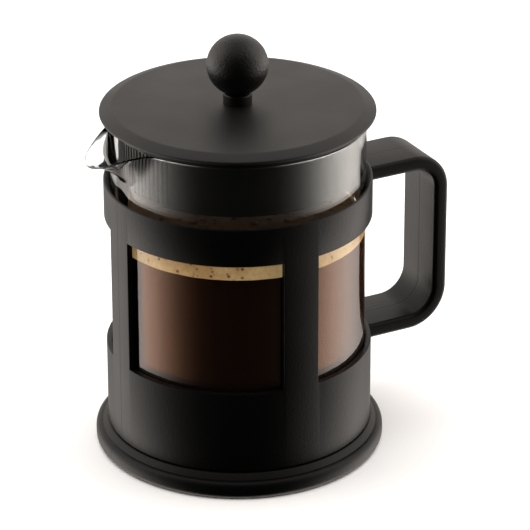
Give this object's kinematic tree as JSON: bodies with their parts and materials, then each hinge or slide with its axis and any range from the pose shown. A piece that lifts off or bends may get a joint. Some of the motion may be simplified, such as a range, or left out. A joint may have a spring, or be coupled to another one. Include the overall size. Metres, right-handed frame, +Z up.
{
  "type": "french press",
  "caption": "French press with a glass beaker in a black windowed frame with a loop handle, and a plunger with a ball knob and mesh filter through its lid.",
  "frame": {"origin": "centre of the foot's flat underside, on the beaker's axis", "axes": "+Z up along the beaker's axis, +X towards the handle, -X towards the pouring spout"},
  "size_m": [0.1473, 0.1106, 0.1641],
  "materials": {
    "black_frame_plastic": "fine spark texture, moulded polypropylene",
    "black_lid_plastic": "satin, fine spark texture",
    "black_knob_plastic": "grained, matte",
    "beaker_glass": "clear borosilicate, fire-polished rim",
    "polished_steel": "drawn stainless steel, bright",
    "stamped_steel": "stamped stainless steel, satin",
    "woven_steel": "fine woven stainless steel mesh",
    "insert_brass": "turned"
  },
  "bodies": {
    "frame": {"frame_with_handle": "black_frame_plastic", "base_foot": "black_frame_plastic"},
    "beaker": {"glass_beaker": "beaker_glass"},
    "lid_hub": {"rod_guide": "black_lid_plastic"},
    "lid": {"lid_cap": "black_lid_plastic", "lid_strainer": "black_lid_plastic"},
    "plunger": {"knob": "black_knob_plastic", "knob_insert": "insert_brass", "plunger_rod": "polished_steel", "rod_collar": "polished_steel", "spiral_plate": "stamped_steel", "edge_spring": "polished_steel", "filter_screen": "woven_steel", "screen_eyelet": "stamped_steel", "cross_plate": "stamped_steel", "cross_hub": "stamped_steel"}
  },
  "joints": [
    {"name": "beaker_lift", "type": "slide", "parent": "frame", "child": "beaker", "axis": [0, 0, 1], "range_m": [0, 0.115]},
    {"name": "lid_lift", "type": "slide", "parent": "beaker", "child": "lid_hub", "axis": [0, 0, 1], "range_m": [0, 0.125]},
    {"name": "lid_turn", "type": "hinge", "parent": "lid_hub", "child": "lid", "pos_m": [0, 0, 0.132], "axis": [0, 0, 1], "continuous": true},
    {"name": "plunger_slide", "type": "slide", "parent": "lid_hub", "child": "plunger", "axis": [0, 0, 1], "range_m": [0, 0.088]}
  ]
}
